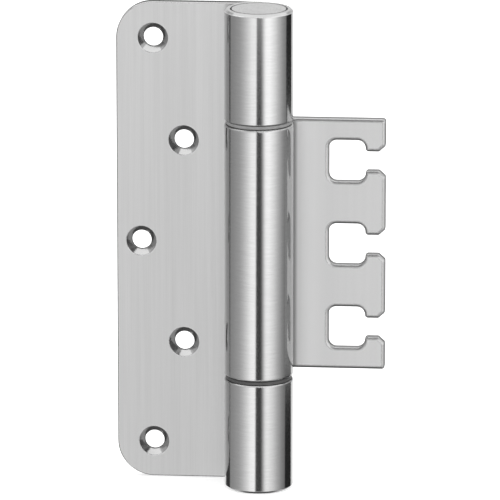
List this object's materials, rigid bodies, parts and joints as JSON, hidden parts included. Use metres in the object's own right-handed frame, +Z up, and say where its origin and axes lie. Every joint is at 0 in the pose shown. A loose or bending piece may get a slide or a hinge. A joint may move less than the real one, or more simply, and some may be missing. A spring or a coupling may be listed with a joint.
{
  "type": "barrel door hinge",
  "caption": "Heavy door hinge with a long rolled barrel, a tall screw-on door leaf with rounded corners and a short frame leaf with hook slots.",
  "frame": {"origin": "point of the mounting plane right behind the barrel axis, at mid-height", "axes": "+Z up along the barrel, +Y out of the back of both leaves, +X towards the frame leaf"},
  "size_m": [0.088, 0.0225, 0.16],
  "materials": {
    "brushed_plate": "brushed stainless, satin knuckles",
    "satin_plate": "satin stainless, turned knuckle",
    "pin_steel": "ground steel",
    "bearing": "grey sliding bearing plastic",
    "dark_bearing": "dark sliding bearing plastic",
    "sleeve": "plain turned steel",
    "cap": "satin stainless"
  },
  "bodies": {
    "frame_side": {"frame_leaf": "satin_plate", "upper_bearing_bush": "bearing", "lower_bearing_bush": "dark_bearing"},
    "door_side": {"door_leaf": "brushed_plate", "hinge_pin": "pin_steel", "upper_pin_sleeve": "sleeve", "lower_pin_sleeve": "sleeve", "top_cap": "cap", "bottom_cap": "cap"}
  },
  "joints": [
    {"name": "door_swing", "type": "hinge", "parent": "frame_side", "child": "door_side", "pos_m": [0, -0.01125, 0], "axis": [0, 0, 1], "range_deg": [0, 180]}
  ]
}
